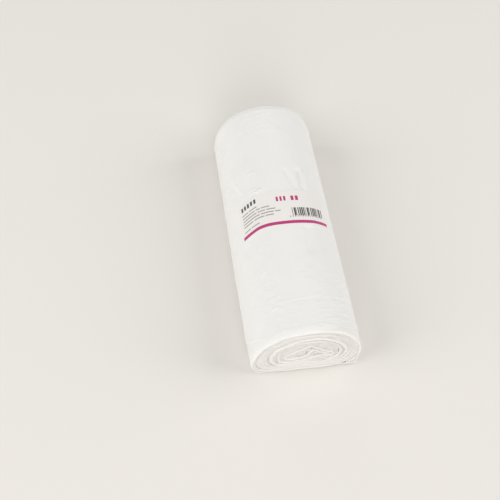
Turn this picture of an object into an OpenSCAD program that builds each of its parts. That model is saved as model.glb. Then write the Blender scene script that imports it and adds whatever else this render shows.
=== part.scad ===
// A roll of thin white bin bags, lying on its side.
// The bags are one long web of film, folded once along its length and wound
// without a core tube. The roll is soft, so it has slumped: round on top, flat
// where it rests, with a loose outer turn that hangs straight down on the right.
// A paper label on top holds the free end of the film.
// X is across the roll, Y along it, Z up; the origin is on the floor under its middle.

/* [Roll] */
// Length of the roll, the width of the folded film
roll_l = 250; // [180:1:360]
// Width of the roll across its widest line
roll_w = 97; // [80:0.5:120]
// Height of the roll without its label
roll_h = 69.5; // [60:0.5:85]
// Height of the widest line above the floor
widest_z = 18; // [14:0.5:24]
// Rise of the widest line for each millimetre that a turn lies further in
widest_rise = 0.45; // [0:0.05:0.5]
// Width of each round corner under the widest line
corner_w = 11; // [6:0.5:16]
// Radius of the corner where the loose outer turn meets the floor
hang_r = 3; // [2:0.25:6]

/* [Outer film] */
// Thickness of the outermost turn
skin_t = 1.1; // [0.8:0.05:1.6]
// How proud the last bag lies on the top of the roll
wrap_t = 0.5; // [0.3:0.05:0.8]
// How far the last bag stops short of each end
wrap_setback = 6.3; // [3:0.1:12]

/* [Turns] */
// Turns in the tight outer pack
tight_turns = 8; // [5:1:9]
// Spacing of the turns in the tight pack
tight_pitch = 1.55; // [1.35:0.05:1.7]
// Thickness of one bundle of film in the pack
bundle_t = 1.05; // [0.7:0.05:1.15]
// Room between the tight pack and the first loose turn
loose_gap = 3; // [2:0.1:4]
// Thickness of the first loose turn
loose_t = 2; // [1.2:0.05:2.4]
// Spacing of the innermost turn inside the first loose turn
heart_gap = 6; // [4.5:0.1:7]
// Thickness of the innermost turn and of the folds inside it
heart_t = 1.6; // [1:0.05:2]
// Height of the buckle in the floor of the first loose turn
buckle_h = 6; // [1:0.1:7]
// Squeeze of the turns under the roll, as a share of their spacing on top
floor_share = 0.6; // [0.5:0.01:0.7]

/* [Ends] */
// Depth that the tight pack lies behind the outer film at each end
pack_recess = 2.5; // [0.5:0.1:6]
// Depth of the loose turn behind the outer film
loose_recess = 0.8; // [0.2:0.1:4]
// Depth of the crumpled heart of the roll
heart_recess = 1.6; // [0.5:0.1:6]

/* [Label] */
// Length of the label around the roll
label_len = 89; // [70:0.5:110]
// Width of the label along the roll
label_w = 38; // [36:0.5:60]
// Thickness of the label
label_t = 0.25; // [0.15:0.01:0.5]
// How far the label's middle lies to the right of the top
label_shift = -3; // [-8:0.5:8]
// Thickness of the printed ink, drawn thick enough to be a solid
ink_t = 0.08; // [0.05:0.01:0.15]

/* [Print] */
// Width of the coloured stripe along the label's lower edge
stripe_w = 2.8; // [1.5:0.1:4]
// Bare margin between the stripe and the label's edges
stripe_margin = 1.6; // [1:0.1:3]
// Margin between the print and the label's left edge
text_margin = 4; // [2:0.1:5]
// Distance of the dark heading blocks from the label's upper edge
heading_top = 3.4; // [2:0.1:5]
// Height of the dark heading blocks
heading_h = 4.8; // [3:0.1:6]
// Distance of the coloured marks from the label's upper edge
marks_top = 6.5; // [4:0.1:8]
// Height of the coloured marks
marks_h = 5; // [3:0.1:6]
// Distance of the first grey line from the label's upper edge
lines_top = 11.7; // [10:0.1:14]
// Thickness of one grey line
line_h = 1.1; // [0.8:0.1:1.6]
// Spacing of the grey lines
line_pitch = 3.1; // [2.4:0.1:3.5]
// Distance of the block of upright bars from the label's upper edge
bars_top = 19.6; // [18:0.1:22]
// Height of the block of upright bars
bars_h = 8.8; // [5:0.1:10]
// Number of upright bars
bars_n = 18; // [10:1:20]
// Spacing of the upright bars
bars_pitch = 1.78; // [1.6:0.02:1.9]

/* [Hidden] */

// Angle between two points of an outline, which divides 90
step = 6;
// Angle that each lower corner takes up
corner_deg = 72;
// Angle above the widest line at which the last bag thins out into the turn under it
bag_deg = 9;
half_w = roll_w / 2;

// A point of the slumped outline at angle t, moved inwards by g.
// From 0 to 180 degrees it runs over the top from right to left on an ellipse,
// then round the left corner, along the flat underside and up the right corner.
function outline(t, g) =
    let (u = t - 360 * floor(t / 360), a = half_w - g, wide = widest_z + widest_rise * g)
    u <= 180 ? [a * cos(u), wide + (roll_h - g - wide) * sin(u)]
    : u < 180 + corner_deg ? corner(a, wide, floor_share * g, (u - 180) * 90 / corner_deg, -1)
    : u > 360 - corner_deg ? corner(a, wide, floor_share * g, (360 - u) * 90 / corner_deg, 1)
    : [(a - corner_w) * (u - 270) / (90 - corner_deg), floor_share * g];

// A point on the flat between two points of the outline, so that what lies on it seats
function seat(t, g) =
    let (k = floor(t / step) * step, f = (t - k) / step)
    outline(k, g) * (1 - f) + outline(k + step, g) * f;

// A point of a lower corner, q degrees below the widest line at height wide, on one side.
// The corner ends on the flat at height low.
function corner(a, wide, low, q, side) =
    [side * (a - corner_w + corner_w * cos(q)), wide - (wide - low) * sin(q)];

// The hanging side of the outermost turn, for a face moved inwards by g: straight
// down from the widest line, with a small round corner on the floor
function hanging(g) = [
    for (q = [90:-15:0])
        [half_w - hang_r + (hang_r - g) * cos(q), hang_r - (hang_r - floor_share * g) * sin(q)]
];

// Winding: how far the middle of the film lies inside the outline after n turns.
// It leaves the outermost turn at the right and ends as the innermost turn.
first_in = skin_t + wrap_t + tight_pitch / 2;
tight_in = first_in + tight_pitch * (tight_turns - 0.2);
loose_in = tight_in + loose_gap;
heart_in = loose_in + heart_gap;
INSETS = [
    [0, skin_t / 2],
    [0.2, first_in],
    [tight_turns, tight_in],
    [tight_turns + 0.3, loose_in],
    [tight_turns + 1, loose_in + tight_pitch],
    [tight_turns + 1.3, heart_in],
    [tight_turns + 2, heart_in]
];

// The buckle in the floor of the loose turn, a smooth bump right of the middle
buckle_x = 0.11 * roll_w;
buckle_r = 0.12 * roll_w;
function bump(x) = abs(x - buckle_x) < buckle_r ? 0.5 + 0.5 * cos(180 * (x - buckle_x) / buckle_r) : 0;

// A point of the winding after n turns, moved inwards by g from the film's middle
function winding(n, g) =
    let (p = outline(360 * n, lookup(n, INSETS) + g))
    n > tight_turns + 0.5 ? [p.x, p.y + (p.y < widest_z ? buckle_h * bump(p.x) : 0)] : p;

// The heart: the first bags of the web, folded flat inside the innermost turn.
// The folds are given as shares of the half width and the height of that pocket.
pocket_w = half_w - heart_in - heart_t / 2;
pocket_z = floor_share * (loose_in + loose_t / 2);
pocket_h = roll_h - heart_in - heart_t / 2 - pocket_z;
FOLDS = [
    [-1, 0.5], [-0.99, 0.34], [-0.93, 0.2], [-0.8, 0.12], [-0.58, 0.09], [-0.3, 0.09],
    [0, 0.14], [0.28, 0.23], [0.5, 0.26], [0.72, 0.23], [0.9, 0.24], [0.98, 0.32],
    [0.9, 0.41], [0.7, 0.5], [0.45, 0.62], [0.25, 0.74], [0.13, 0.83], [-0.02, 0.79],
    [-0.22, 0.69], [-0.45, 0.59], [-0.64, 0.49], [-0.76, 0.39], [-0.77, 0.31],
    [-0.66, 0.25], [-0.4, 0.25], [-0.16, 0.27], [0.03, 0.34], [0.11, 0.48], [0.2, 0.6],
    [0.32, 0.55], [0.52, 0.43], [0.74, 0.36]
];

// A smooth curve from b to c, which also looks at the folds a and d on either side
function curve(a, b, c, d, t) =
    0.5 * (2 * b + (c - a) * t + (2 * a - 5 * b + 4 * c - d) * t * t + (3 * b - a - 3 * c + d) * t * t * t);
function fold(i) = FOLDS[max(0, min(len(FOLDS) - 1, i))];
function in_pocket(p) = [p.x * pocket_w, pocket_z + p.y * pocket_h];
heart_path = concat(
    [for (n = [tight_turns + 1:step / 360:tight_turns + 1.46]) winding(n, 0)],
    [
        for (i = [0:len(FOLDS) - 2])
            for (t = [0:1 / 3:0.9])
                in_pocket(curve(fold(i - 1), fold(i), fold(i + 1), fold(i + 2), t))
    ]
);

// Direction of a path at its point i, and the band of film that follows the path
function along(c, i) = let (d = c[min(i + 1, len(c) - 1)] - c[max(i - 1, 0)]) d / norm(d);
function beside(c, i, w) = let (d = along(c, i)) c[i] + [-d.y, d.x] * w;
function band(c, w) = concat(
    [for (i = [0:len(c) - 1]) beside(c, i, w / 2)],
    [for (i = [len(c) - 1:-1:0]) beside(c, i, -w / 2)]
);

// Extrudes an outline drawn in X and Z along the roll, stopping short of both ends
module lengthwise(recess) {
    translate([0, roll_l / 2 - recess, 0])
        rotate([90, 0, 0])
            linear_extrude(height = roll_l - 2 * recess)
                children();
}

// One face of the outermost turn, moved inwards by g
module sleeve(g) {
    polygon(concat(
        [for (t = [0:step:180]) outline(t, wrap_t * sin(t) + g)],
        [for (t = [180 + step:step:270]) outline(t, g)],
        hanging(g)
    ));
}

// The outermost turn, a closed sleeve of film with its loose side hanging down
module skin() {
    lengthwise(0)
        difference() {
            sleeve(0);
            sleeve(skin_t);
        }
}

// The last bag, a thin layer over the top that stops short of both ends
module last_bag() {
    ts = concat([bag_deg], [for (t = [bag_deg + step / 2:step:180 - bag_deg]) t], [180 - bag_deg]);
    lengthwise(wrap_setback)
        polygon(concat(
            [for (t = ts) seat(t, 0)],
            [for (i = [len(ts) - 1:-1:0]) outline(ts[i], wrap_t * sin(ts[i]) + skin_t / 2)]
        ));
}

// One stretch of the winding. Its start is thinned, to lie inside the stretch before it.
module wound(from, to, w, recess, angle = step) {
    ns = [for (n = [from:angle / 360:to + angle / 720]) n];
    function half(n) = w / 2 * min(1, 0.6 + (n - from) * 4);
    lengthwise(recess)
        polygon(concat(
            [for (n = ns) winding(n, -half(n))],
            [for (i = [len(ns) - 1:-1:0]) winding(ns[i], half(ns[i]))]
        ));
}

module film_roll() {
    lap = 3 * step / 360;
    color([0.93, 0.92, 0.89])
        union() {
            skin();
            last_bag();
            wound(0, 1 + lap, bundle_t, 0);
            wound(1, tight_turns + lap, bundle_t, pack_recess);
            wound(tight_turns, tight_turns + 1 + lap, loose_t, loose_recess, step / 2);
            lengthwise(heart_recess)
                polygon(band(heart_path, heart_t));
        }
}

// Mean radius of the crown, and the angle that lies s to the right of the top
crown_r = (3 * half_w + roll_h - widest_z) / 4;
function crown_deg(s) = 90 - s / crown_r * 180 / PI;

// A sheet that hugs the crown from s_from to s_to across, between two heights over it
module hugging(s_from, s_to, y_from, y_to, low, high) {
    first = crown_deg(s_to);
    last = crown_deg(s_from);
    ts = concat([first], [for (t = [step:step:180 - step]) if (t > first && t < last) t], [last]);
    translate([0, y_to, 0])
        rotate([90, 0, 0])
            linear_extrude(height = y_to - y_from)
                polygon(concat(
                    [for (t = ts) seat(t, -high)],
                    [for (i = [len(ts) - 1:-1:0]) seat(ts[i], -low)]
                ));
}

// A printed field on the label, in millimetres from the label's upper left corner
label_left = label_shift - label_len / 2;
label_top = label_w / 2;
module ink(x, y, w, h) {
    hugging(label_left + x, label_left + x + w, label_top - y - h, label_top - y, label_t, label_t + ink_t);
}

// A row of equal upright blocks, which stands in for a word and spells nothing
module blocks(x, y, n, pitch, gap, h) {
    for (i = [0:n - 1])
        ink(x + i * pitch, y, pitch - gap, h);
}

module label() {
    color([0.92, 0.9, 0.88])
        hugging(label_left, label_left + label_len, -label_w / 2, label_w / 2, 0, label_t);
}

module label_stripe() {
    color([0.72, 0.2, 0.47])
        ink(stripe_margin, label_w - stripe_margin - stripe_w, label_len - 2 * stripe_margin, stripe_w);
}

// Dark blocks in the upper left corner, where such labels have their heading
heading_n = 5;
heading_pitch = 3.6;
heading_gap = 1.3;
module label_heading() {
    color([0.25, 0.24, 0.24])
        blocks(text_margin, heading_top, heading_n, heading_pitch, heading_gap, heading_h);
}

// Coloured marks at the middle of the label: a group of three and a wider group of two
marks_x = 0.44 * label_len;
narrow_pitch = 3.4;
wide_pitch = 4.2;
marks_gap = 1.2;
module label_marks() {
    color([0.72, 0.2, 0.47]) {
        blocks(marks_x, marks_top, 3, narrow_pitch, marks_gap, marks_h);
        blocks(marks_x + 4 * narrow_pitch, marks_top, 2, wide_pitch, marks_gap, marks_h);
    }
}

// Grey lines of small dashes, one list of dash lengths for each line, the last set apart
DASHES = [[7, 8.4], [14, 4, 7.6], [15.5, 7, 8.4], [18, 12, 5], [11, 10, 7.4], [7, 8.4]];
dash_gap = 1.2;
last_gap = 2.2;
function before(row, i) = i == 0 ? 0 : row[i - 1] + dash_gap + before(row, i - 1);
function line_y(k) = lines_top + k * line_pitch + (k == len(DASHES) - 1 ? last_gap : 0);
module label_lines() {
    color([0.5, 0.49, 0.48])
        for (k = [0:len(DASHES) - 1])
            for (i = [0:len(DASHES[k]) - 1])
                ink(text_margin + before(DASHES[k], i), line_y(k), DASHES[k][i], line_h);
}

// A block of plain upright bars in four widths that follow a simple rule
bars_x = 0.58 * label_len;
thin_bar = 0.35 * bars_pitch;
bar_step = 0.15 * bars_pitch;
module label_bars() {
    color([0.16, 0.15, 0.15])
        for (i = [0:bars_n - 1])
            ink(bars_x + i * bars_pitch, bars_top, thin_bar + bar_step * ((i * i + 2 * i) % 4), bars_h);
}

film_roll();
label();
label_stripe();
label_heading();
label_marks();
label_lines();
label_bars();
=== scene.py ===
import math
import bpy
import numpy as np
from mathutils import Matrix, Vector


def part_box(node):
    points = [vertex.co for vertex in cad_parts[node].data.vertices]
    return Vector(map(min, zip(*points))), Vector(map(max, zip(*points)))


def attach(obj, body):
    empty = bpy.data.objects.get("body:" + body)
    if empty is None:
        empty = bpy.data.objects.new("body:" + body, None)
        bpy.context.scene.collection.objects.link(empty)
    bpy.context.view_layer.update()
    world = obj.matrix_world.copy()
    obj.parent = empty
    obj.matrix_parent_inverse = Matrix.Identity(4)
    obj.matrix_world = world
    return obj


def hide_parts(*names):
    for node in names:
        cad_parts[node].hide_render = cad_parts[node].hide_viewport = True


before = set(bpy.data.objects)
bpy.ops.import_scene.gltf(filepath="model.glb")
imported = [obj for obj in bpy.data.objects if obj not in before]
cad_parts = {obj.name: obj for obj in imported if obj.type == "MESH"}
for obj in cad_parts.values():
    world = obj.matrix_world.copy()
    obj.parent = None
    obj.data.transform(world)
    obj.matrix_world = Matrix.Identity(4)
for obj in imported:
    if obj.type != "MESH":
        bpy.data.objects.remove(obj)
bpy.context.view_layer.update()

# Loose turns and crumpled heart
# The web of bags starts in the middle of the roll, wound without a core tube. Its first
# bags are folded flat and crumpled, and the first whole turn lies loose round them, with
# a buckle in its floor. It is all one band of thin white film, about 2 mm of layers.
half_w, half_l, roll_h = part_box("film_roll")[1]
widest_z = 0.018
widest_rise = 0.45
corner_w = 0.011
corner_deg = 72
floor_mid = 270
floor_share = 0.6
pack_turns = 8
pack_pitch = 0.00155
rim_turns = 0.2
rim_in = 0.00055
first_in = 0.002375
pack_in = first_in + pack_pitch * (pack_turns - rim_turns)
loose_gap = 0.003
loose_in = pack_in + loose_gap
heart_gap = 0.006
heart_in = loose_in + heart_gap
step_turns = 0.3
# How many turns in, counted from the outside, and how far the film lies inside the outline there
TURN_STOPS = [
    0, rim_turns, pack_turns, pack_turns + step_turns,
    pack_turns + 1, pack_turns + 1 + step_turns, pack_turns + 2]
TURN_INSETS = [rim_in, first_in, pack_in, loose_in, loose_in + pack_pitch, heart_in, heart_in]
buckle_h = 0.006
buckle_x = 0.22 * half_w
buckle_r = 0.24 * half_w
loose_t = 0.0027
heart_t = 0.0017
loose_recess = 0.0002
heart_recess = 0.0014
pocket_gap = 0.0008
pocket_w = half_w - heart_in - pocket_gap
pocket_z = floor_share * (loose_in + 0.001)
pocket_h = roll_h - heart_in - pocket_gap - pocket_z
# Middle line of the folded bags: across in half widths of the pocket, and up in its heights
FOLDS = np.array([
    (-1, 0.5), (-0.99, 0.34), (-0.93, 0.2), (-0.8, 0.12), (-0.58, 0.09), (-0.3, 0.09), (0, 0.14),
    (0.28, 0.23), (0.5, 0.26), (0.72, 0.23), (0.9, 0.24), (0.98, 0.32), (0.9, 0.41), (0.7, 0.5),
    (0.45, 0.62), (0.25, 0.74), (0.13, 0.83), (-0.02, 0.79), (-0.22, 0.69), (-0.45, 0.59),
    (-0.64, 0.49), (-0.76, 0.39), (-0.77, 0.31), (-0.66, 0.25), (-0.4, 0.25), (-0.16, 0.27),
    (0.03, 0.34), (0.11, 0.48), (0.2, 0.6), (0.32, 0.55), (0.52, 0.43), (0.74, 0.36)])
film_color = (0.828, 0.822, 0.806, 1)


def outline(t, g):
    """The slumped outline at angle t in degrees, moved inwards by g: half an ellipse over the
    top from right to left, a quarter ellipse at each lower corner and a flat between them.
    The widest line rises a little with g, and the floor by a share of g."""
    u = np.mod(t, 360.0)
    a = half_w - g
    wide_z = widest_z + widest_rise * g
    foot = wide_z - floor_share * g
    rad = np.radians(u)
    left = np.radians((u - 180) * 90 / corner_deg)
    right = np.radians((360 - u) * 90 / corner_deg)
    parts = [u <= 180, u < 180 + corner_deg, u > 360 - corner_deg]
    x = np.select(
        parts,
        [a * np.cos(rad),
         corner_w - a - corner_w * np.cos(left), a - corner_w + corner_w * np.cos(right)],
        (a - corner_w) * (u - floor_mid) / (90 - corner_deg))
    z = np.select(
        parts,
        [wide_z + (roll_h - g - wide_z) * np.sin(rad),
         wide_z - foot * np.sin(left), wide_z - foot * np.sin(right)],
        wide_z - foot)
    return x, z


def winding(n, g):
    """The winding after n turns: the outline at 360 n degrees, inset by the sum of the turns
    outside it and g, with a cosine bump in the floor of the loose turns."""
    x, z = outline(360 * n, np.interp(n, TURN_STOPS, TURN_INSETS) + g)
    off = (x - buckle_x) / buckle_r
    bump = np.where(np.abs(off) < 1, 0.5 + 0.5 * np.cos(np.pi * off), 0)
    in_floor = (n > pack_turns + 0.5) & (z < widest_z)
    return x, z + np.where(in_floor, buckle_h * bump, 0)


def smooth_curve(points, steps):
    """Catmull-Rom curve through the points, with so many steps from each to the next."""
    padded = np.vstack([points[:1], points, points[-1:]])
    t = (np.arange(steps) / steps)[None, :, None]
    a, b, c, d = [padded[k:len(padded) - 3 + k][:, None, :] for k in range(4)]
    square, cube = 2 * a - 5 * b + 4 * c - d, 3 * b - a - 3 * c + d
    curve = 0.5 * (2 * b + (c - a) * t + square * t**2 + cube * t**3)
    return np.vstack([curve.reshape(-1, points.shape[1]), points[-1:]])


def ripple(u, v, size, seed, waves=14):
    """Smooth noise about 1 high: a sum of cosine waves in random directions, with random
    phases and wavelengths of 0.6 to 1.7 times size, over the root of their number."""
    rng = np.random.default_rng(seed)
    angle = rng.uniform(0, 2 * np.pi, waves)
    k = 2 * np.pi / (size * rng.uniform(0.6, 1.7, waves))
    phase = rng.uniform(0, 2 * np.pi, waves)
    total = np.zeros(np.broadcast(u, v).shape)
    for i in range(waves):
        total += np.cos(k[i] * (u * np.cos(angle[i]) + v * np.sin(angle[i])) + phase[i])
    return total / math.sqrt(waves)


def grid_piece(name, points, uv, ring, material):
    """A mesh from a grid of points (u, v, 3). The grid closes on itself along v, and along u
    too where ring is true; otherwise its two ends are capped. uv has one more column each way."""
    nu, nv = points.shape[:2]
    columns = nu if ring else nu - 1
    i, j = np.meshgrid(np.arange(columns), np.arange(nv), indexing="ij")
    corners_u = np.stack([i, i + 1, i + 1, i], -1).reshape(-1, 4)
    corners_v = np.stack([j, j, j + 1, j + 1], -1).reshape(-1, 4)
    quads = (corners_u % nu) * nv + corners_v % nv
    face_uv = uv[corners_u, corners_v]
    flat = points.reshape(-1, 3)
    a, b, c, d = [flat[quads[:, k]] for k in range(4)]
    inside_out = np.sum(a * np.cross(b, c)) + np.sum(a * np.cross(c, d)) < 0
    if inside_out:
        quads = quads[:, ::-1]
        face_uv = face_uv[:, ::-1]
    faces = quads.tolist()
    loop_uv = face_uv.reshape(-1, 2)
    if not ring:
        first, last = list(range(nv)), list(range((nu - 1) * nv, nu * nv))
        faces += [first, last[::-1]] if inside_out else [first[::-1], last]
        loop_uv = np.vstack([loop_uv, np.repeat(uv[:1, 0], nv, 0), np.repeat(uv[-1:, 0], nv, 0)])
    mesh = bpy.data.meshes.new(name)
    mesh.from_pydata(flat.tolist(), [], faces)
    layer = mesh.uv_layers.new(name="film")
    layer.data.foreach_set("uv", loop_uv.astype(np.float32).ravel())
    mesh.shade_smooth()
    mesh.materials.append(material)
    piece = bpy.data.objects.new(name, mesh)
    bpy.context.scene.collection.objects.link(piece)
    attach(piece, "root")
    return piece


def band_profile(nose=9, depths=(0.0005, 0.001, 0.0016, 0.0025, 0.004, 0.008, 0.02, 0.05)):
    """Round a band of film from its near end to its near end again. For each point: depth in
    the rounded nose in half thicknesses, depth behind the nose, offset across (-1 to 1) and
    end (-1 near, 1 far). The nose has small lobes, where bundles of layers end unevenly."""
    across = np.linspace(-1, 1, nose)
    nose_in = 1 - np.sqrt(1 - (across * 0.98) ** 2) + 0.12 * (np.arange(nose) % 2)
    face = np.array(depths)
    full = np.ones(len(face))
    in_nose = np.concatenate([nose_in, full, full, nose_in[::-1], full, full])
    behind = np.concatenate([np.zeros(nose), face, face[::-1], np.zeros(nose), face, face[::-1]])
    offset = np.concatenate([across, full, full, across[::-1], -full, -full])
    near = -np.ones(nose)
    end = np.concatenate([near, -full, full, -near, full, -full])
    return in_nose, behind, offset, end


spread_depth = 0.004


def band_piece(name, path, half_t, recess, roundness, fills, material):
    """A band of film as wide as the roll, carried along a path in X and Z. Its half thickness
    and the recess of its ends are given along the path, the recess for both ends. roundness
    is the depth of the nose in half thicknesses. Behind the nose the loose layers spread with
    the square of the depth, by fills times the half thickness at spread_depth."""
    run = np.concatenate([[0], np.cumsum(np.hypot(*np.diff(path, axis=0).T))])
    heading = np.gradient(path, axis=0)
    heading /= np.hypot(heading[:, :1], heading[:, 1:])
    side = np.stack([-heading[:, 1], heading[:, 0]], -1)
    in_nose, behind, offset, end = band_profile()
    recess_there = np.where(end < 0, recess[0][:, None], recess[1][:, None])
    y = end * (half_l - recess_there - in_nose * half_t[:, None] * roundness - behind)
    swell = 1 + fills * np.clip(behind / spread_depth, 0, 1) ** 2
    xz = path[:, None, :] + side[:, None, :] * (offset * half_t[:, None] * swell)[..., None]
    points = np.stack([xz[..., 0], y, np.maximum(xz[..., 1], 0)], -1)
    uv = np.stack([np.broadcast_to(run[:, None], y.shape), half_t[:, None] * offset + 0.2 * y], -1)
    uv = np.concatenate([uv, uv[:, :1]], 1)
    return grid_piece(name, points, uv, False, material)


def shader_group(name, given, made):
    """An empty shader node group with sockets for what it is given and what it makes. Returns
    its nodes and links, the sockets that give and the sockets that take what it makes."""
    group = bpy.data.node_groups.new(name, "ShaderNodeTree")
    for in_out, sockets in (("INPUT", given), ("OUTPUT", made)):
        for socket, kind in sockets.items():
            group.interface.new_socket(socket, in_out=in_out, socket_type="NodeSocket" + kind)
    entry = group.nodes.new("NodeGroupInput")
    leave = group.nodes.new("NodeGroupOutput")
    return group.nodes, group.links, entry.outputs, leave.inputs


def grouped_material(name, group, uv_map, given, constants):
    """A material with its constants on the shader's own sockets, and one shader group placed
    with its own values. The group reads the named UV map, or else the object's coordinates,
    and each thing that it makes feeds the shader's socket of the same name."""
    material = bpy.data.materials.new(name)
    material.use_nodes = True
    nodes, links = material.node_tree.nodes, material.node_tree.links
    shader = nodes["Principled BSDF"]
    for socket, value in constants.items():
        shader.inputs[socket].default_value = value
    surface = nodes.new("ShaderNodeGroup")
    surface.node_tree = bpy.data.node_groups[group]
    for socket, value in given.items():
        surface.inputs[socket].default_value = value
    where = nodes.new("ShaderNodeUVMap" if uv_map else "ShaderNodeTexCoord")
    if uv_map:
        where.uv_map = uv_map
    links.new(where.outputs["UV" if uv_map else "Object"], surface.inputs["Place"])
    for socket in surface.outputs:
        links.new(socket, shader.inputs[socket.name])
    return material


# Shader group for film: a faint mottle of two colours, and fine creases, noise stretched
# along the film, that change the gloss and the surface
nodes, links, given, made = shader_group(
    "film_surface",
    {"Place": "Vector", "Color": "Color", "Mottle Color": "Color", "Least Roughness": "Float",
     "Most Roughness": "Float", "Stretch": "Vector", "Crease Scale": "Float", "Crease Height": "Float"},
    {"Base Color": "Color", "Roughness": "Float", "Normal": "Vector"})
stretch = nodes.new("ShaderNodeMapping")
links.new(given["Place"], stretch.inputs["Vector"])
links.new(given["Stretch"], stretch.inputs["Scale"])
film_noise = nodes.new("ShaderNodeTexNoise")
film_noise.inputs["Detail"].default_value = 5
film_noise.inputs["Roughness"].default_value = 0.6
film_noise.inputs["Distortion"].default_value = 0.5
links.new(stretch.outputs["Vector"], film_noise.inputs["Vector"])
links.new(given["Crease Scale"], film_noise.inputs["Scale"])
mottle = nodes.new("ShaderNodeTexNoise")
mottle.inputs["Scale"].default_value = 60
mottle.inputs["Detail"].default_value = 3
links.new(given["Place"], mottle.inputs["Vector"])
film_tint = nodes.new("ShaderNodeMix")
film_tint.data_type = "RGBA"
links.new(mottle.outputs["Fac"], film_tint.inputs["Factor"])
links.new(given["Color"], film_tint.inputs["A"])
links.new(given["Mottle Color"], film_tint.inputs["B"])
links.new(film_tint.outputs["Result"], made["Base Color"])
gloss = nodes.new("ShaderNodeMapRange")
links.new(film_noise.outputs["Fac"], gloss.inputs["Value"])
links.new(given["Least Roughness"], gloss.inputs["To Min"])
links.new(given["Most Roughness"], gloss.inputs["To Max"])
links.new(gloss.outputs["Result"], made["Roughness"])
film_bump = nodes.new("ShaderNodeBump")
film_bump.inputs["Strength"].default_value = 0.5
links.new(film_noise.outputs["Fac"], film_bump.inputs["Height"])
links.new(given["Crease Height"], film_bump.inputs["Distance"])
links.new(film_bump.outputs["Normal"], made["Normal"])


def film_material(name, color, rough, soft, soft_r, stretch_by, crease_size, crease_height):
    """White film with a soft sheen, and light that spreads a little below the surface."""
    mottle_color = (color[0] * 0.96, color[1] * 0.96, color[2] * 0.955, 1)
    given = {
        "Color": color, "Mottle Color": mottle_color, "Least Roughness": rough - 0.08,
        "Most Roughness": rough + 0.08, "Stretch": (*stretch_by, 1),
        "Crease Scale": 1 / crease_size, "Crease Height": crease_height}
    constants = {
        "Specular IOR Level": 0.22, "Subsurface Weight": soft,
        "Subsurface Radius": (1.0, 0.97, 0.92), "Subsurface Scale": soft_r}
    return grouped_material(name, "film_surface", "film", given, constants)


loose_film = film_material(
    "loose_film", film_color, rough=0.5, soft=0.3, soft_r=0.0010,
    stretch_by=(0.05, 1), crease_size=0.0008, crease_height=0.0001)
loose_count = 1.46
steps_a_turn = 120
heart_from, heart_blend = 0.1, 0.04
start_share, start_run = 0.4, 0.02
uneven_h, uneven_size = 0.0005, 0.03
n_loose = np.arange(pack_turns, pack_turns + loose_count, 1 / steps_a_turn)
fold_path = smooth_curve(FOLDS, 8) * (pocket_w, pocket_h) + (0, pocket_z)
inner_path = np.vstack([np.stack(winding(n_loose, 0 * n_loose), -1), fold_path])
inner_run = np.concatenate([[0], np.cumsum(np.hypot(*np.diff(inner_path, axis=0).T))])
in_heart = np.clip((inner_run - heart_from) / heart_blend, 0, 1)
opening = np.clip(start_share + inner_run / start_run, 0, 1)
inner_half = (loose_t + (heart_t - loose_t) * in_heart) / 2 * opening
inner_recess = loose_recess + (heart_recess - loose_recess) * in_heart
inner_recesses = [
    inner_recess + uneven_h * ripple(inner_run, 0, uneven_size, seed) for seed in (3, 4)]
band_piece(
    "loose_turns", inner_path, inner_half, inner_recesses, roundness=0.5, fills=0.8,
    material=loose_film)

# Crumpled filling
# Layers of the first bags fill the space inside the wound pack. Their edges lie behind the
# loose turn and the folds, in a crumpled face with a few small hollows.
# Darker than the loose turn: partly the beige tone of film edges, partly painted shade of the recess
# behind the loose turn and the folds
filling_tone_and_shade_color = (0.76, 0.74, 0.706, 1)
filling_recess = 0.0029
filling_edge = pack_in + 0.0002
filling_z = 0.027
crumple_h, crumple_size = 0.00045, 0.007
wrinkle_h, wrinkle_size = 0.0002, 0.0022
left_bulge, left_from, left_blend = 0.0011, -0.012, 0.012
hollow_depth = 0.0055
# Each hollow's middle and its half width and half height
HOLLOWS = [
    (-0.0055, 0.0205, 0.0030, 0.0012), (0.0008, 0.0245, 0.0011, 0.0032),
    (0.0040, 0.0345, 0.0020, 0.0018), (0.0100, 0.0210, 0.0028, 0.0014),
    (0.0290, 0.0225, 0.0009, 0.0030)]
rings = np.concatenate([[0.004], np.linspace(0.03, 1, 64)])[None, :]
edge_x, edge_z = outline(np.arange(0, 360, 1.5)[:, None], filling_edge)
face_x = edge_x * rings
face_z = filling_z + (edge_z - filling_z) * rings
face_y = []
for seed in (41, 42):
    depth = filling_recess + crumple_h * ripple(face_x, face_z, crumple_size, seed)
    depth += wrinkle_h * ripple(face_x, face_z, wrinkle_size, seed + 2)
    depth -= left_bulge * np.clip((left_from - face_x) / left_blend, 0, 1)
    for x0, z0, size_x, size_z in HOLLOWS:
        depth += hollow_depth * np.exp(-((face_x - x0) / size_x) ** 2 - ((face_z - z0) / size_z) ** 2)
    face_y.append(half_l - depth)
filling_points = np.stack([
    np.concatenate([face_x, face_x[:, ::-1]], 1),
    np.concatenate([-face_y[0], face_y[1][:, ::-1]], 1),
    np.concatenate([face_z, face_z[:, ::-1]], 1)], -1)
filling_uv = np.stack([filling_points[..., 0], filling_points[..., 2]], -1)
filling_uv = np.concatenate([filling_uv, filling_uv[:, :1]], 1)
filling_uv = np.concatenate([filling_uv, filling_uv[:1]], 0)
filling_tone_and_shade_film = film_material(
    "filling_tone_and_shade_film", filling_tone_and_shade_color, rough=0.55, soft=0.3, soft_r=0.0010,
    stretch_by=(1, 1), crease_size=0.0012, crease_height=0.0002)
grid_piece("crumpled_filling", filling_points, filling_uv, True, filling_tone_and_shade_film)

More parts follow.
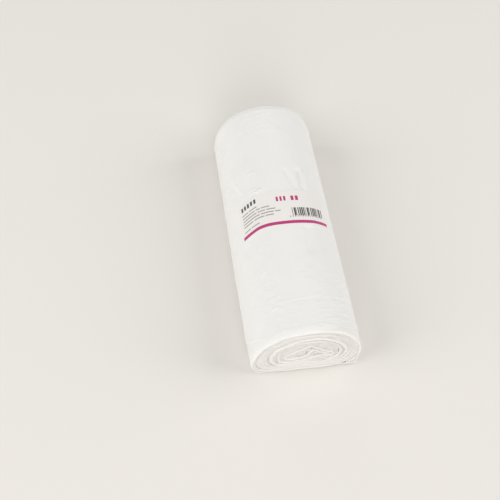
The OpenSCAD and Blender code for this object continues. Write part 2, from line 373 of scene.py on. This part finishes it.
# Packed turns
# Outside the loose turn the film is wound tight: eight bundles of turns on one spiral. The
# film wandered as it was wound, so the bundles end unevenly, a little behind the outer turn.
# Darker and more beige than the loose turn: partly the tone of film seen edge-on, partly painted shade
# of the ends recessed under the rim
pack_tone_and_shade_color = (0.825, 0.81, 0.782, 1)
rim_recess = 0.001
rim_blend = 0.15
pack_recess = 0.0022
bundle_half = 0.0009
outer_in = 0.0005
outer_t = 0.0021
crown_sink = 0.0016
crown_fade = 0.25
shoulder_mid = -0.03
shoulder_half = 0.32
shoulder_softness = 0.25


def settle(t, y):
    """How far the film lies inside the smooth outline at angle t and place y along the roll:
    a parabola across the crown, which has sunk flat between two soft shoulders, times one
    along the roll, a little deeper at mid length."""
    s = (90 - t) / 90
    across = np.clip(1 - ((s - shoulder_mid) / shoulder_half) ** 2, 0, None)
    soft = across / (1 + shoulder_softness * across)
    along = 1 - crown_fade * (y / half_l) ** 2
    return crown_sink * soft * along


turn_run = 0.25
wander_h, wander_size = 0.00012, 0.045
thick_h, thick_size = 0.00004, 0.06
long_h, long_size = 0.00033, 0.12
short_h, short_size = 0.0001, 0.02
left_proud = 0.0009
second_proud = 0.0003
second_phase = 0.6
n_pack = np.arange(0, pack_turns + 0.1, 1 / 180)
pack_run = n_pack * turn_run
wander = wander_h * ripple(pack_run, 0, wander_size, 11)
first_bundle = outer_in + outer_t / 2
spiral_in = np.interp(n_pack, [0, pack_turns], [first_bundle, pack_in])
settled = wander + settle(np.mod(360 * n_pack, 360), 0)
pack_path = np.stack(outline(360 * n_pack, spiral_in + settled), -1)
pack_half = bundle_half + thick_h * ripple(pack_run, 0, thick_size, 12)
behind_rim = np.clip((n_pack - rim_turns) / rim_blend, 0, 1)
on_left = np.clip(-np.cos(2 * np.pi * n_pack), 0, 1)
proud = left_proud * on_left + second_proud * np.cos(np.pi * n_pack + second_phase)
pack_recesses = []
for seed in (13, 14):
    uneven = long_h * ripple(pack_run, 0, long_size, seed)
    uneven += short_h * ripple(pack_run, 0, short_size, seed + 5)
    pack_recesses.append(rim_recess + (pack_recess - rim_recess + uneven - proud) * behind_rim)
packed_tone_and_shade_film = film_material(
    "packed_tone_and_shade_film", pack_tone_and_shade_color, rough=0.5, soft=0.3, soft_r=0.0010,
    stretch_by=(0.05, 1), crease_size=0.0008, crease_height=0.0001)
band_piece(
    "packed_turns", pack_path, pack_half, pack_recesses, roundness=0.4, fills=0,
    material=packed_tone_and_shade_film)

# Outer turn
# The outermost turn is a closed sleeve of film as long as the roll. It is loose: on the
# right it hangs straight down from the widest line to the floor.
hang_r = 0.003
lip_in = 0.0014
lip_r = 0.0028
corner_from, corner_to = 310, 340


def sleeve(t, g):
    """The outline of the loose outer turn at angle t, moved inwards by g: as the slumped
    outline, but on the right along the floor, round a small corner and straight up."""
    u = np.mod(t, 360.0)
    x, z = outline(u, g)
    floor_x = (half_w - hang_r) * np.clip((u - floor_mid) / (corner_from - floor_mid), 0, 1)
    round_share = np.clip((corner_to - u) / (corner_to - corner_from), 0, 1)
    q = round_share * np.pi / 2
    corner_x = half_w - hang_r + (hang_r - g) * np.cos(q)
    corner_z = hang_r - (hang_r - floor_share * g) * np.sin(q)
    side_z = hang_r + (widest_z - hang_r) * np.clip((u - corner_to) / (360 - corner_to), 0, 1)
    parts = [u <= floor_mid, u <= corner_from, u <= corner_to]
    x = np.select(parts, [x, floor_x, corner_x], half_w - g)
    z = np.select(parts, [z, floor_share * g, corner_z], side_z)
    return x, z


def arc_table(count=7201):
    """Distance along the sleeve from the crown, positive to the right, at evenly spaced
    angles from the middle of the floor on the left side round to the floor again."""
    t = np.linspace(270, -90, count)
    x, z = sleeve(t, 0)
    run = np.concatenate([[0], np.cumsum(np.hypot(np.diff(x), np.diff(z)))])
    return run - np.interp(-90, -t, run), t


ARC_S, ARC_T = arc_table()


def over_roll(s, y, g):
    """The point of the sleeve at distance s from the crown, inset by g, at y along the roll.
    The sunken crown is taken off along the same normal."""
    t = np.interp(s, ARC_S, ARC_T)
    x, z = sleeve(t, g + np.where((t > 0) & (t < 180), settle(t, y), 0))
    return np.stack(np.broadcast_arrays(x, y, np.maximum(z, 0)), -1)


def sleeve_piece(name, s, rows, y_near, y_far, outer, inner, nose_r, lift, material):
    """A closed sleeve of film. Round each cross line run the outer face from the near to the
    far edge, the far nose, the inner face back, and the near nose. outer and inner give the
    inset of the faces at a place (s, y), and lift is what the creases add to the outer face."""
    nose = np.radians(np.linspace(80, -80, 7))
    back = np.array([0.96, 0.7, 0.3, 0.04])
    edge, flat_out, flat_in = np.ones(len(nose)), np.ones(len(rows)), np.ones(len(back))
    share = np.concatenate([rows, edge, back, 0 * edge])[None, :]
    nose_in = np.concatenate([flat_out, np.cos(nose), flat_in, np.cos(nose)])
    side = np.concatenate([0 * flat_out, edge, 0 * flat_in, -edge])
    face = np.concatenate([flat_out, np.sin(nose), -flat_in, -np.sin(nose)])
    s = s[:, None]
    y_near, y_far = y_near[:, None], y_far[:, None]
    y = y_near + nose_r + (y_far - y_near - 2 * nose_r) * share + nose_r * side * nose_in
    g_out, g_in = outer(s, y), inner(s, y)
    g = (g_out + g_in) / 2 + (g_in - g_out) / 2 * -face - lift(s, y) * np.clip(face, 0, 1)
    points = over_roll(s, y, g)
    uv = np.stack(np.broadcast_arrays(s, y + 0.01 * (1 - face)), -1)
    uv = np.concatenate([uv, uv[:, :1]], 1)
    uv = np.concatenate([uv, uv[:1] + (ARC_S[-1] - ARC_S[0], 0)], 0)
    return grid_piece(name, points, uv, True, material)


def smooth_step(x, start, stop):
    """0 before start, 1 after stop, and between them the cubic step 3 k**2 - 2 k**3."""
    k = np.clip((x - start) / (stop - start), 0, 1)
    return k * k * (3 - 2 * k)


def creases(s, y, lines):
    """Sum of creases, each a sharp ridge that falls off exponentially to both sides and with a
    parabola to its ends. A line holds its middle (s, y), its turn from the cross direction,
    length, height, width and bend."""
    total = np.zeros(np.broadcast(s, y).shape)
    s, y = np.broadcast_arrays(s, y)
    for mid_s, mid_y, turn, length, height, width, bend in lines:
        reach = length / 2 + 5 * width
        near = (np.abs(s - mid_s) < reach) & (np.abs(y - mid_y) < reach)
        ds, dy = s[near] - mid_s, y[near] - mid_y
        along = ds * math.cos(turn) + dy * math.sin(turn)
        off = dy * math.cos(turn) - ds * math.sin(turn) - bend * along**2
        taper = np.clip(1 - (2 * along / length) ** 2, 0, 1)
        total[near] += height * taper * np.exp(-np.abs(off) / width)
    return total


def random_creases(count, s_range, y_range, turn, spread, length, height, width, seed):
    """So many creases in a field, as rows for creases(). Each value is drawn evenly between
    its least and most, and the turn from a bell curve of that spread."""
    rng = np.random.default_rng(seed)
    columns = [
        rng.uniform(*s_range, count), rng.uniform(*y_range, count), rng.normal(turn, spread, count),
        rng.uniform(*length, count), rng.uniform(*height, count), rng.uniform(*width, count),
        rng.uniform(-12, 12, count)]
    return np.stack(columns, -1)


outer_film = film_material(
    "outer_film", film_color, rough=0.68, soft=0.2, soft_r=0.0006,
    stretch_by=(0.3, 1), crease_size=0.004, crease_height=0.00025)
cover_in, cover_from, cover_to = 0.0017, 0.0008, 0.003
roll_w = 2 * half_w
far_edge = 0.065 * roll_w
# The last bag's near edge in widths of the roll: place across, and distance from the roll's end
NEAR_EDGE = roll_w * np.array([
    (-1.0, 0.225), (-0.8, 0.195), (-0.6, 0.14), (-0.45, 0.075), (-0.3, 0.065),
    (0.3, 0.065), (0.55, 0.11), (0.8, 0.19), (1.0, 0.22)])
rim_w = 0.026
rim_s = (-0.08, 0.09)
# Turn, its spread, and the least and most length, height and width
rim_shape = (0, 0.12, (0.008, 0.03), (-0.00005, 0.00012), (0.0004, 0.0007))
rim_creases = np.vstack([
    random_creases(240, rim_s, (-half_l, -half_l + rim_w), *rim_shape, 21),
    random_creases(240, rim_s, (half_l - rim_w, half_l), *rim_shape, 22)])


def edge_line(s):
    """How far the near edge of the last bag lies behind the end of the roll: a smooth curve."""
    line = smooth_curve(NEAR_EDGE, 12)
    return np.interp(s, line[:, 0], line[:, 1])


def past_edge(s, y):
    """How far a place lies inwards of the last bag's edge, near or far."""
    return half_l - np.abs(y) - np.where(y < 0, edge_line(s), far_edge)


def outer_turn_in(s, y):
    """Inset of the outer turn: it curls in exponentially at the lip, and steps in smoothly
    to run under the last bag."""
    lip = lip_in * np.exp((np.abs(y) - half_l) / lip_r)
    covered = smooth_step(past_edge(s, y), cover_from, cover_to)
    return outer_in + lip + (cover_in - outer_in) * covered


fine_step = 0.0006
s_fine = np.arange(-0.088, 0.0935, fine_step)
s_floor = np.linspace(s_fine[-1], ARC_S[-1], 24)[1:]
s_floor_left = np.linspace(ARC_S[0], s_fine[0], 36)[:-1]
outer_s = np.concatenate([s_floor_left, s_fine[:-1], s_floor[:-1]])
outer_rows = np.concatenate([np.arange(0, rim_w, 0.0007), [0.032, 0.04, 0.08]]) / (2 * half_l)
outer_rows = np.concatenate([outer_rows, [0.5], 1 - outer_rows[::-1]])
outer_nose = 0.0016
wave_h, wave_size = 0.0004, 0.03
end_wave = wave_h * ripple(outer_s, 0, wave_size, 23)
sleeve_piece(
    "outer_turn", outer_s, outer_rows, -half_l + end_wave, half_l - end_wave, outer_turn_in,
    lambda s, y: outer_in + outer_t + 0 * (s + y), outer_nose,
    lambda s, y: creases(s, y, rim_creases), outer_film)

# Hanging layers
# On the right a few loose layers of film hang between the pack and the outer turn, and
# nearly fill the gap beside the floor.
hang_recess = 0.0017
hang_round = 0.0006
hang_ridge, hang_waves = 0.0002, 20
hang_overlap = 0.0016
hang_t = np.arange(298, 357, 2.0)
hang_across = np.linspace(0, 1, 9)
hang_out = np.stack(sleeve(hang_t, outer_in + outer_t), -1)[:, None]
hang_in = np.stack(outline(hang_t, outer_in + hang_overlap), -1)[:, None]
hang_face = hang_in + (hang_out - hang_in) * hang_across[:, None]
hang_depth = hang_recess + hang_round * (2 * hang_across - 1) ** 4
hang_y = half_l - hang_depth - hang_ridge * np.cos(hang_waves * hang_across)
hang_y = np.concatenate([-hang_y, hang_y[::-1]]) + 0 * hang_t[:, None]
hang_xz = np.concatenate([hang_face, hang_face[:, ::-1]], 1)
hang_points = np.stack([hang_xz[..., 0], hang_y, hang_xz[..., 1]], -1)
hang_uv = np.concatenate([hang_points, hang_points[:, :1]], 1)[..., [0, 2]]
# The hanging layers take the packed turns' colour, with its painted shade
grid_piece("hanging_layers", hang_points, hang_uv, False, packed_tone_and_shade_film)

# Last bag
# The last bag of the web lies over the outer turn and stops short of both ends. Its film is
# thin and crinkled: pleats run to where the label pins it, and its edges draw back at the sides.
bag_t = 0.00045
bag_under, under_from, under_to = 0.0016, 0.0014, 0.004
label_len = 0.089
label_w = 0.038
label_shift = -0.003
# Each pleat's start and end (s, y), height, drop on its steep side and reach on its gentle one
PLEATS = [
    ((0.0035, 0.047), (0.0115, 0.0195), 0.00048, 0.0034, 0.0060),
    ((0.0180, 0.048), (0.0182, 0.0195), 0.00110, 0.0026, 0.0060),
    ((0.0258, 0.046), (0.0235, 0.0195), -0.0007, 0.0022, 0.0085),
    ((0.0112, -0.053), (0.0146, -0.0195), 0.00075, 0.0034, 0.0120),
    ((0.0258, -0.050), (0.0258, -0.0195), 0.0005, 0.0030, 0.0080)]
# Each pucker's middle (s, y), half width, half length, height and width of its ridge
ARCS = [
    (-0.0270, 0.0440, 0.0040, 0.0028, 0.00058, 0.0005),
    (-0.0275, 0.0195, 0.0088, 0.0080, 0.00055, 0.0004),
    (-0.0272, 0.0190, 0.0058, 0.0055, 0.00055, 0.0004),
    (-0.0215, 0.0205, 0.0040, 0.0042, 0.00060, 0.0005)]
# Each fold's height, width and the points (s, y) on it, these in millimetres
FOLD_LINES = [
    (0.00022, 0.0007,
     [(-37.5, -117), (-35.5, -106), (-33, -99.5), (-29, -96), (-24, -97), (-20, -101)]),
    (0.00014, 0.0006, [(-6, -73), (5, -74), (15, -78), (22, -80)]),
    (-0.00030, 0.0008, [(1, 104), (8, 98), (16, 93)]),
    (0.00008, 0.0005, [(-30, 92), (-10, 91.5), (10, 91.5), (22, 93)]),
    (-0.00050, 0.0011, [(-60, 54), (-52, 45), (-47, 34), (-44, 20)]),
    (0.00032, 0.0012, [(-50, 74), (-48, 52), (-41, 34), (-36, 28)]),
    (0.00045, 0.0011, [(-62, 47), (-57, 39), (-51, 23)]),
    (0.00040, 0.0011, [(-62, 40), (-54, 28), (-49, 12), (-47, 4)]),
    (-0.00012, 0.0010, [(-44, 44), (-36, 38), (-31, 30)]),
    (0.00025, 0.0010, [(-56, -28), (-50, -40), (-47, -58), (-50, -74)]),
    (-0.00025, 0.0010, [(-62, -30), (-57, -48), (-58, -66)])]
# Each field's count of creases, its reach in s and in y, their turn and its spread, and the
# least and most length, height and width
CREASE_FIELDS = [
    (130, (0.004, 0.054), (-0.118, -0.095), 0.12, 0.10,
     (0.008, 0.022), (-0.00006, 0.0002), (0.0004, 0.0006)),
    (70, (0.005, 0.042), (-0.096, -0.055), 0.25, 0.25,
     (0.005, 0.015), (-0.00007, 0.00023), (0.0004, 0.0007)),
    (90, (-0.060, 0.012), (-0.118, -0.05), 0, 0.35,
     (0.006, 0.018), (-0.00004, 0.00016), (0.0005, 0.0008)),
    (120, (-0.034, -0.022), (-0.118, -0.03), 0.5, 0.7,
     (0.003, 0.009), (-0.00008, 0.00028), (0.0004, 0.0006)),
    (140, (-0.036, 0.004), (0.090, 0.115), 0, 0.9,
     (0.003, 0.010), (-0.00008, 0.00032), (0.0004, 0.0006)),
    (60, (-0.070, -0.034), (0.02, 0.11), 1.1, 0.6,
     (0.010, 0.030), (-0.00012, 0.00018), (0.0007, 0.0014)),
    (90, (-0.020, 0.045), (-0.05, 0.12), 0, 1.2,
     (0.005, 0.015), (-0.00002, 0.00008), (0.0004, 0.0008))]
bag_creases = np.vstack([random_creases(*field, 31 + i) for i, field in enumerate(CREASE_FIELDS)])
seam_y = -0.092
seam_slant = 0.009
seam_ridge, seam_step = 0.00024, 0.00020
plate_h, plate_least = 0.0003, 0.00003
hem_h, hem_w, hem_in = 0.00022, 0.0005, 0.0006
pressed_w = 0.0025


def under_label(s, y):
    """1 in the open, 0 where the label presses the film flat, with a quick step at its edge."""
    past_s = np.abs(s - label_shift) - label_len / 2
    past_y = np.abs(y) - label_w / 2
    return smooth_step(np.maximum(past_s, past_y), 0, pressed_w)


def line_lift(s, y, height, width, points):
    """A ridge along a smooth line through the points, given in millimetres on the film. It
    falls off exponentially with the distance from the nearest part of the line."""
    total = np.full(np.broadcast(s, y).shape, 1.0)
    line = smooth_curve(np.array(points, float), 4) / 1000
    for (s0, y0), (s1, y1) in zip(line[:-1], line[1:]):
        ds, dy = s1 - s0, y1 - y0
        k = np.clip(((s - s0) * ds + (y - y0) * dy) / (ds * ds + dy * dy), 0, 1)
        total = np.minimum(total, np.hypot(s - s0 - k * ds, y - y0 - k * dy))
    return height * np.exp(-total / width)


def bag_lift(s, y):
    """Creases of the last bag, added up: random fine ones, folded plates on the left flank
    (minus the size of two ripples), a few long fold lines, and the perforation near the end (a
    ridge with a step beside it). Beside the label are pleats, each a steep smooth step less a
    gentle one, and puckers, ridges along part of an ellipse. A low hem, a ridge that falls off
    exponentially, runs along both edges."""
    s, y = np.broadcast_arrays(s, y)
    lift = creases(s, y, bag_creases)
    flank = smooth_step(-s, 0.02, 0.045) * smooth_step(y, -0.07, -0.02)
    plates = -np.abs(ripple(s, y, 0.045, 35)) - 0.5 * np.abs(ripple(s, y, 0.02, 36))
    lift += (plate_least + plate_h * flank) * (plates + 0.8)
    for height, width, points in FOLD_LINES:
        lift += line_lift(s, y, height, width, points)
    seam = y - seam_y - seam_slant * smooth_step(s, 0.02, 0.07) - 0.0003 * ripple(s, 0, 0.03, 39)
    torn = 0.25 + 0.6 * np.exp(-((s + 0.007) / 0.009) ** 2) + 0.4 * smooth_step(s, 0.022, 0.03)
    lift += torn * seam_ridge * np.exp(-np.abs(seam) / 0.0005)
    lift -= torn * seam_step * smooth_step(-seam, 0, 0.0012)
    for (s0, y0), (s1, y1), height, drop, reach in PLEATS:
        k = np.clip((y - y0) / (y1 - y0), 0, 1)
        off = math.copysign(1, height) * (s - s0 - k * (s1 - s0))
        tooth = smooth_step(off, -drop, 0) - smooth_step(off, 0.3 * drop, reach)
        beside = (np.abs(y) > label_w / 2) & (y * y1 > 0)
        lift -= height * smooth_step(k, 0, 0.25) * tooth * beside
    for mid_s, mid_y, r_s, r_y, height, width in ARCS:
        u, v = (s - mid_s) / r_s, (y - mid_y) / r_y
        off = (np.hypot(u, v) - 1) * min(r_s, abs(r_y))
        lift += height * smooth_step(v, 0.1, 0.7) * np.exp(-np.abs(off) / width)
    hem = hem_h * np.exp(-np.abs(past_edge(s, y) - hem_in) / hem_w)
    return hem + lift * under_label(s, y)


top_from, top_to = -0.042, 0.034
flank_step = 0.0011
bag_s = np.concatenate([
    s_floor_left[::2], np.arange(s_fine[0], top_from, flank_step),
    np.arange(top_from, top_to, fine_step), np.arange(top_to, s_fine[-1], flank_step),
    s_floor[:-1:2]])
row_stops = np.array([-0.1187, -0.06, -0.0185, 0.0185, 0.052, 0.09, 0.1187])
row_counts = [128, 46, 12, 72, 36, 46]
bag_rows = np.concatenate([
    np.linspace(row_stops[i], row_stops[i + 1], row_counts[i], endpoint=i == 5) for i in range(6)])
bag_rows = (bag_rows - row_stops[0]) / (row_stops[-1] - row_stops[0])
bag_nose = 0.0002
bag_near = -half_l + edge_line(bag_s) + 0.0003 * ripple(bag_s, 0, 0.02, 37)
bag_far = half_l - far_edge + 0.0005 * ripple(bag_s, 0, 0.03, 38)
last_bag = sleeve_piece(
    "last_bag", bag_s, bag_rows, bag_near, bag_far, lambda s, y: 0 * (s + y),
    lambda s, y: bag_t + (bag_under - bag_t) * smooth_step(past_edge(s, y), under_from, under_to),
    bag_nose, bag_lift, outer_film)
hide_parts("film_roll")

# Paper label
# One paper label, 89 by 38 mm and a quarter of a millimetre thick with its glue, is stuck
# over the top at mid length. It holds the free end of the film.
label_t = 0.00025
label_sunk = 0.00005
paper_color = (0.825, 0.8, 0.775, 1)
right_drift, left_drift, bell_drift = 0.0030, 0.0016, 0.0012


def label_drift(s):
    """How far the label strays along the roll at s, as it was put on a little crooked: the
    square of s on the right, a straight slope back on the left, and a bell between them."""
    right = np.clip(s / 0.0415, 0, 1)
    left = np.clip((-s - 0.03) / 0.017, 0, 1)
    bell = np.exp(-((s + 0.022) / 0.012) ** 2)
    return right_drift * right**2 - left_drift * left + bell_drift * bell


def patch_points(s, y, low, high):
    """A thin closed slab over the roll on a grid of s and y, as the points of its cross lines."""
    across = np.concatenate([y, y[::-1]])
    g = np.concatenate([np.full(len(y), -high), np.full(len(y), -low)])
    grid_s = s[:, None]
    grid_y = across[None, :] + label_drift(grid_s)
    return over_roll(grid_s, grid_y, g[None, :] + 0 * grid_s)


# Shader group for paper and ink: a fine speckle of two colours, and a slight tooth
nodes, links, given, made = shader_group(
    "paper_grain",
    {"Place": "Vector", "Color": "Color", "Speckle Color": "Color"},
    {"Base Color": "Color", "Normal": "Vector"})
grain = nodes.new("ShaderNodeTexNoise")
grain.inputs["Scale"].default_value = 900
grain.inputs["Detail"].default_value = 4
links.new(given["Place"], grain.inputs["Vector"])
speckle = nodes.new("ShaderNodeMix")
speckle.data_type = "RGBA"
links.new(grain.outputs["Fac"], speckle.inputs["Factor"])
links.new(given["Color"], speckle.inputs["A"])
links.new(given["Speckle Color"], speckle.inputs["B"])
links.new(speckle.outputs["Result"], made["Base Color"])
tooth = nodes.new("ShaderNodeBump")
tooth.inputs["Strength"].default_value = 0.3
tooth.inputs["Distance"].default_value = 0.00005
links.new(grain.outputs["Fac"], tooth.inputs["Height"])
links.new(tooth.outputs["Normal"], made["Normal"])


def ink_material(name, color, rough):
    """Matte ink or paper: a base colour with a fine speckle that is 6 percent darker."""
    speckle_color = (color[0] * 0.94, color[1] * 0.94, color[2] * 0.94, 1)
    given = {"Color": color, "Speckle Color": speckle_color}
    return grouped_material(name, "paper_grain", "", given, {"Roughness": rough})


slab_step_s, slab_step_y = 0.0015, 0.003


def slab_piece(name, fields, low, high, material, node):
    """Thin printed or paper fields over the roll as one piece. A field is (s, y, width, height)."""
    verts, faces = [], []
    for s0, y0, wide, tall in fields:
        s = np.linspace(s0, s0 + wide, max(2, int(wide / slab_step_s) + 1))
        y = np.linspace(y0, y0 + tall, max(2, int(tall / slab_step_y) + 1))
        points = patch_points(s, y, low, high)
        nu, nv = points.shape[:2]
        first = len(verts)
        verts += points.reshape(-1, 3).tolist()
        this = np.arange(nv) + first
        following = np.roll(this, -1)
        for i in range(nu - 1):
            faces += np.stack([this, following, following + nv, this + nv], -1).tolist()
            this, following = this + nv, following + nv
        faces.append((np.arange(nv) + first)[::-1].tolist())
        faces.append((np.arange(nv) + first + (nu - 1) * nv).tolist())
    mesh = bpy.data.meshes.new(name)
    mesh.from_pydata(verts, [], faces)
    mesh.materials.append(material)
    piece = bpy.data.objects.new(name, mesh)
    bpy.context.scene.collection.objects.link(piece)
    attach(piece, "root")
    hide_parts(node)
    return piece


paper = ink_material("label_paper", paper_color, 0.55)
label_left = label_shift - label_len / 2
label_top = label_w / 2
whole_label = (label_left, -label_w / 2, label_len, label_w)
slab_piece("paper_label", [whole_label], -label_sunk, label_t, paper, "label")

# Print
# The paper is printed in magenta, dark grey and grey ink. The print is plain fields only: a
# stripe, a heading of five blocks, two groups of marks, six dashed lines, and a block of bars
# over a row of small ticks.
ink_t = 0.00004
ink_sunk = 0.00002
text_margin = 0.004


def field(x, y, wide, tall):
    """A field given from the label's upper left corner, as (s, y, width, height) on the roll."""
    return (label_left + x, label_top - y - tall, wide, tall)


def printed(node, fields, color):
    """One printed piece, which replaces that node of the part, in ink of one colour."""
    ink = ink_material(node + "_ink", color, 0.42)
    slab_piece(node + "_print", fields, label_t - ink_sunk, label_t + ink_t, ink, node)


magenta = (0.47, 0.03, 0.185, 1)
dark = (0.06, 0.058, 0.058, 1)
grey = (0.34, 0.33, 0.32, 1)
stripe_w = 0.0032
stripe_margin = 0.0014
stripe_y = label_w - stripe_margin - stripe_w
stripe = field(stripe_margin, stripe_y, label_len - 2 * stripe_margin, stripe_w)
printed("label_stripe", [stripe], magenta)
heading_top, heading_h, heading_pitch, heading_gap = 0.0036, 0.0044, 0.0036, 0.0015
heading_x = [text_margin + heading_pitch * i for i in range(5)]
heading_fields = [field(x, heading_top, heading_pitch - heading_gap, heading_h) for x in heading_x]
printed("label_heading", heading_fields, dark)
marks_x, marks_top, marks_h = 0.44 * label_len, 0.0065, 0.005
narrow_pitch, wide_pitch, marks_gap = 0.0034, 0.0042, 0.0015
narrow_x = [marks_x + narrow_pitch * i for i in range(3)]
wide_x = [marks_x + 4 * narrow_pitch + wide_pitch * i for i in range(2)]
mark_fields = [field(x, marks_top, narrow_pitch - marks_gap, marks_h) for x in narrow_x]
mark_fields += [field(x, marks_top, wide_pitch - marks_gap, marks_h) for x in wide_x]
printed("label_marks", mark_fields, magenta)
# The dashes of each line, in millimetres
DASHES = [[7, 8.4], [14, 4, 7.6], [15.5, 7, 8.4], [18, 12, 5], [11, 10, 7.4], [7, 8.4]]
lines_top, line_h, line_pitch, dash_gap, last_gap = 0.0117, 0.0011, 0.0031, 0.0012, 0.0022
dash_fields = []
for k, row in enumerate(DASHES):
    x = text_margin
    y = lines_top + line_pitch * k + (last_gap if k == len(DASHES) - 1 else 0)
    for dash in row:
        dash_fields.append(field(x, y, dash / 1000, line_h))
        x += dash / 1000 + dash_gap
printed("label_lines", dash_fields, grey)
bars_x, bars_top, bars_h, bars_pitch = 0.58 * label_len, 0.0196, 0.0088, 0.00178
thin_bar, bar_step = 0.3 * bars_pitch, 0.14 * bars_pitch
bar_x = [bars_x + bars_pitch * i for i in range(18)]
bar_w = [thin_bar + bar_step * ((3 * i * i + i) % 7) for i in range(18)]
bar_fields = [field(x, bars_top, wide, bars_h) for x, wide in zip(bar_x, bar_w)]
tick_pitch, tick_w, tick_h, tick_gap = 0.0024, 0.0010, 0.0008, 0.0003
ticks_x = bars_x - 0.003
ticks_top = bars_top + bars_h + tick_gap
bar_fields += [field(ticks_x + tick_pitch * i, ticks_top, tick_w, tick_h) for i in range(14)]
printed("label_bars", bar_fields, dark)

# Floor, light and camera
# A round floor of plain pale paint, under soft light from both sides and the front and a weak
# lamp behind, and the camera at the angle the roll was photographed from, about 56 degrees
# above the table.
floor_r = 1.0
floor_z = -0.0001
floor_color = (0.78, 0.757, 0.724, 1)
floor_angle = np.radians(np.arange(0, 360, 3))
floor_points = np.stack([floor_r * np.cos(floor_angle), floor_r * np.sin(floor_angle)], -1)
floor_points = np.insert(floor_points, 2, floor_z, axis=1)
floor_mesh = bpy.data.meshes.new("floor")
floor_mesh.from_pydata(floor_points.tolist(), [], [list(range(len(floor_points)))])
floor = bpy.data.objects.new("floor", floor_mesh)
bpy.context.scene.collection.objects.link(floor)
floor_paint = bpy.data.materials.new("floor_paint")
floor_paint.use_nodes = True
floor_shader = floor_paint.node_tree.nodes["Principled BSDF"]
floor_shader.inputs["Base Color"].default_value = floor_color
floor_shader.inputs["Roughness"].default_value = 0.9
floor_shader.inputs["Specular IOR Level"].default_value = 0.15
floor_mesh.materials.append(floor_paint)

# The sky lights the roll weakly, and the camera and reflections see a pale backdrop instead
lamp_color = (1, 0.99, 0.975)
backdrop_color = (0.88, 0.855, 0.825, 1)
sky_strength = 0.4
world = bpy.data.worlds.new("studio")
bpy.context.scene.world = world
world.use_nodes = True
nodes, links = world.node_tree.nodes, world.node_tree.links
sky = nodes["Background"]
sky.inputs["Color"].default_value = (*lamp_color, 1)
sky.inputs["Strength"].default_value = sky_strength
backdrop = nodes.new("ShaderNodeBackground")
backdrop.inputs["Color"].default_value = backdrop_color
light_path = nodes.new("ShaderNodeLightPath")
looked_at = light_path.outputs["Is Camera Ray"]
for ray in ("Is Glossy Ray", "Is Transmission Ray"):
    either = nodes.new("ShaderNodeMath")
    either.operation = "MAXIMUM"
    links.new(looked_at, either.inputs[0])
    links.new(light_path.outputs[ray], either.inputs[1])
    looked_at = either.outputs["Value"]
seen = nodes.new("ShaderNodeMixShader")
links.new(looked_at, seen.inputs["Fac"])
links.new(sky.outputs["Background"], seen.inputs[1])
links.new(backdrop.outputs["Background"], seen.inputs[2])
links.new(seen.outputs["Shader"], nodes["World Output"].inputs["Surface"])


def soft_box(name, place, size, power):
    """A square area lamp at place, turned towards the middle of the floor."""
    lamp = bpy.data.lights.new(name, "AREA")
    lamp.shape = "SQUARE"
    lamp.size = size
    lamp.energy = power
    lamp.color = lamp_color
    holder = bpy.data.objects.new(name, lamp)
    bpy.context.scene.collection.objects.link(holder)
    holder.location = place
    holder.rotation_euler = (-Vector(place)).to_track_quat("-Z", "Y").to_euler()


soft_box("left_light", (-2.9, -0.56, 1.84), size=2.56, power=63)
soft_box("right_light", (2.9, -0.32, 1.92), size=2.56, power=60)
soft_box("front_light", (-0.32, -3.2, 1.6), size=1.92, power=46)
soft_box("back_light", (-0.32, 3.2, 2.08), size=2.24, power=7.7)

view_azimuth = math.radians(-13.89)
view_elevation = math.radians(56.08)
view_roll = math.radians(6.5)
view_distance = 0.741
aim = Vector((-0.0298, -0.0038, 0.0107))
back = Vector((
    math.sin(view_azimuth) * math.cos(view_elevation),
    -math.cos(view_azimuth) * math.cos(view_elevation),
    math.sin(view_elevation)))
camera_data = bpy.data.cameras.new("camera")
camera_data.sensor_width = 36
camera_data.lens = 57.02
camera = bpy.data.objects.new("camera", camera_data)
bpy.context.scene.collection.objects.link(camera)
right = (-back).cross(Vector((0, 0, 1))).normalized()
up = right.cross(-back)
turned_right = right * math.cos(view_roll) + up * math.sin(view_roll)
turned_up = up * math.cos(view_roll) - right * math.sin(view_roll)
camera.matrix_world = Matrix((turned_right, turned_up, back)).transposed().to_4x4()
camera.location = aim + back * view_distance
bpy.context.scene.camera = camera
bpy.context.scene.view_settings.view_transform = "Standard"
